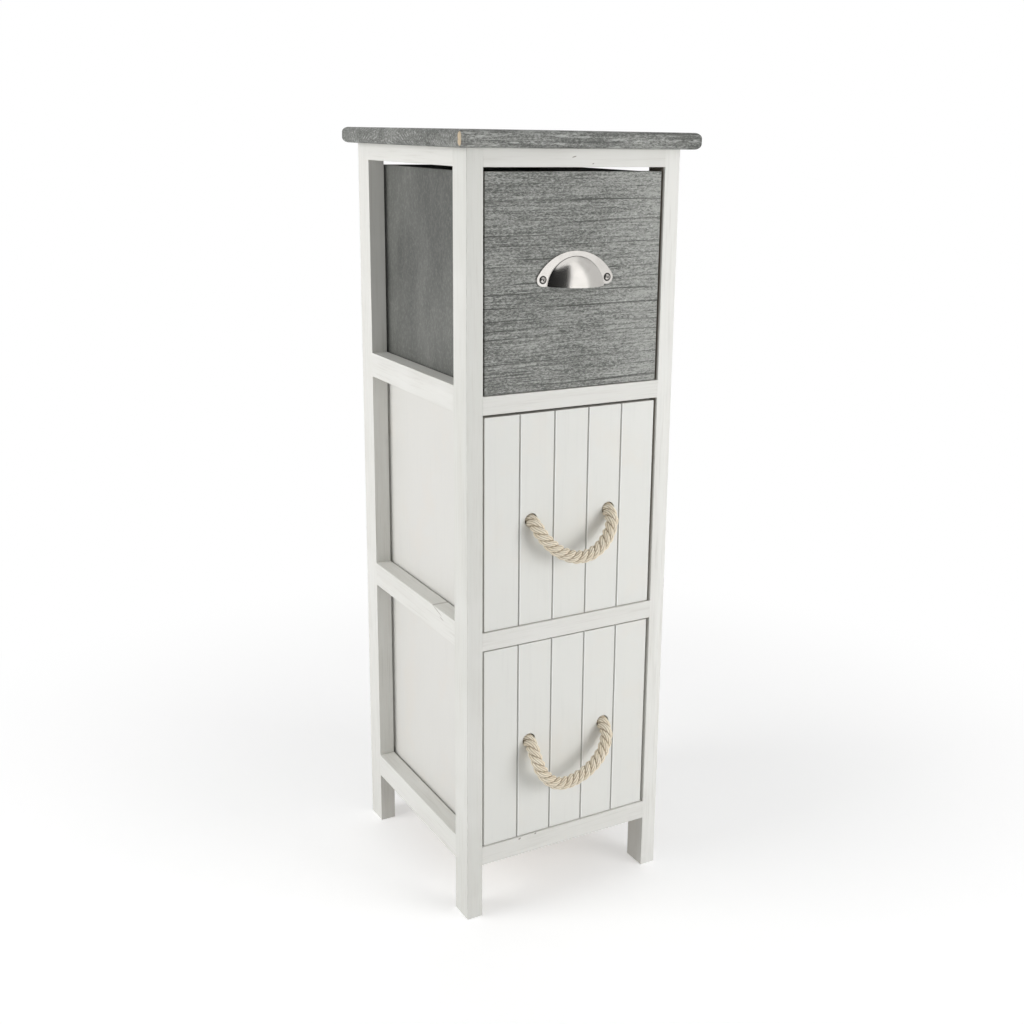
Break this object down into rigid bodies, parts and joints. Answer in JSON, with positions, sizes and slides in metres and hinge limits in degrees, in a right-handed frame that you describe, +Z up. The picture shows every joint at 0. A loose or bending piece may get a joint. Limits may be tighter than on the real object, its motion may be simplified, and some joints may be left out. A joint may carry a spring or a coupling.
{
  "type": "drawer cabinet",
  "caption": "Narrow floor-standing bathroom cabinet: open white frame, grey washed top, a grey drawer with a cup pull over white plank-front drawers with rope handles.",
  "frame": {"origin": "on the floor below the middle of the box round the cabinet, the rope handles left out", "axes": "+Z up, +X to the right seen from the front, drawers open towards -Y"},
  "size_m": [0.264, 0.2944, 0.8],
  "materials": {
    "white_frame": "brushed off-white wash on softwood",
    "grey_top": "grey wash with pale brushed grain",
    "grey_front": "grey wash with dark and pale brushed grain",
    "grey_side": "smooth grey stain",
    "white_planks": "smooth off-white paint",
    "white_side": "smooth off-white paint",
    "bare_board": "bare thin board",
    "bare_beech": "bare turned beech",
    "zinc_steel": "bright zinc",
    "nickel": "satin nickel",
    "cotton_rope": "three-strand natural cotton rope"
  },
  "bodies": {
    "frame": {"front_bottom_rail": "white_frame", "front_left_post": "white_frame", "front_lower_rail": "white_frame", "front_rail_dowels": "bare_beech", "front_right_post": "white_frame", "front_top_rail": "white_frame", "front_upper_rail": "white_frame", "left_bottom_rail": "white_frame", "left_bottom_runner": "white_frame", "left_lower_rail": "white_frame", "left_lower_runner": "white_frame", "left_top_rail": "white_frame", "left_upper_rail": "white_frame", "left_upper_runner": "white_frame", "rear_bottom_rail": "white_frame", "rear_left_post": "white_frame", "rear_lower_rail": "white_frame", "rear_rail_dowels": "bare_beech", "rear_right_post": "white_frame", "rear_top_rail": "white_frame", "rear_upper_rail": "white_frame", "right_bottom_rail": "white_frame", "right_bottom_runner": "white_frame", "right_lower_rail": "white_frame", "right_lower_runner": "white_frame", "right_top_rail": "white_frame", "right_upper_rail": "white_frame", "right_upper_runner": "white_frame", "runner_nails": "zinc_steel", "side_rail_dowels": "bare_beech", "top_board": "grey_top", "top_screws": "zinc_steel"},
    "upper_drawer": {"cup_pull": "nickel", "cup_pull_screws": "nickel", "upper_drawer_back": "grey_side", "upper_drawer_base": "bare_board", "upper_drawer_dowels": "bare_beech", "upper_drawer_front": "grey_front", "upper_drawer_left_side": "grey_side", "upper_drawer_right_side": "grey_side"},
    "middle_drawer": {"middle_drawer_back": "white_side", "middle_drawer_base": "bare_board", "middle_drawer_dowels": "bare_beech", "middle_drawer_front": "white_planks", "middle_drawer_left_side": "white_side", "middle_drawer_right_side": "white_side", "middle_rope_handle": "cotton_rope", "middle_rope_knots": "cotton_rope"},
    "lower_drawer": {"lower_drawer_back": "white_side", "lower_drawer_base": "bare_board", "lower_drawer_dowels": "bare_beech", "lower_drawer_front": "white_planks", "lower_drawer_left_side": "white_side", "lower_drawer_right_side": "white_side", "lower_rope_handle": "cotton_rope", "lower_rope_knots": "cotton_rope"}
  },
  "joints": [
    {"name": "upper_drawer_slide", "type": "slide", "parent": "frame", "child": "upper_drawer", "axis": [0, -1, 0], "range_m": [0, 0.18]},
    {"name": "middle_drawer_slide", "type": "slide", "parent": "frame", "child": "middle_drawer", "axis": [0, -1, 0], "range_m": [0, 0.18]},
    {"name": "lower_drawer_slide", "type": "slide", "parent": "frame", "child": "lower_drawer", "axis": [0, -1, 0], "range_m": [0, 0.18]}
  ]
}
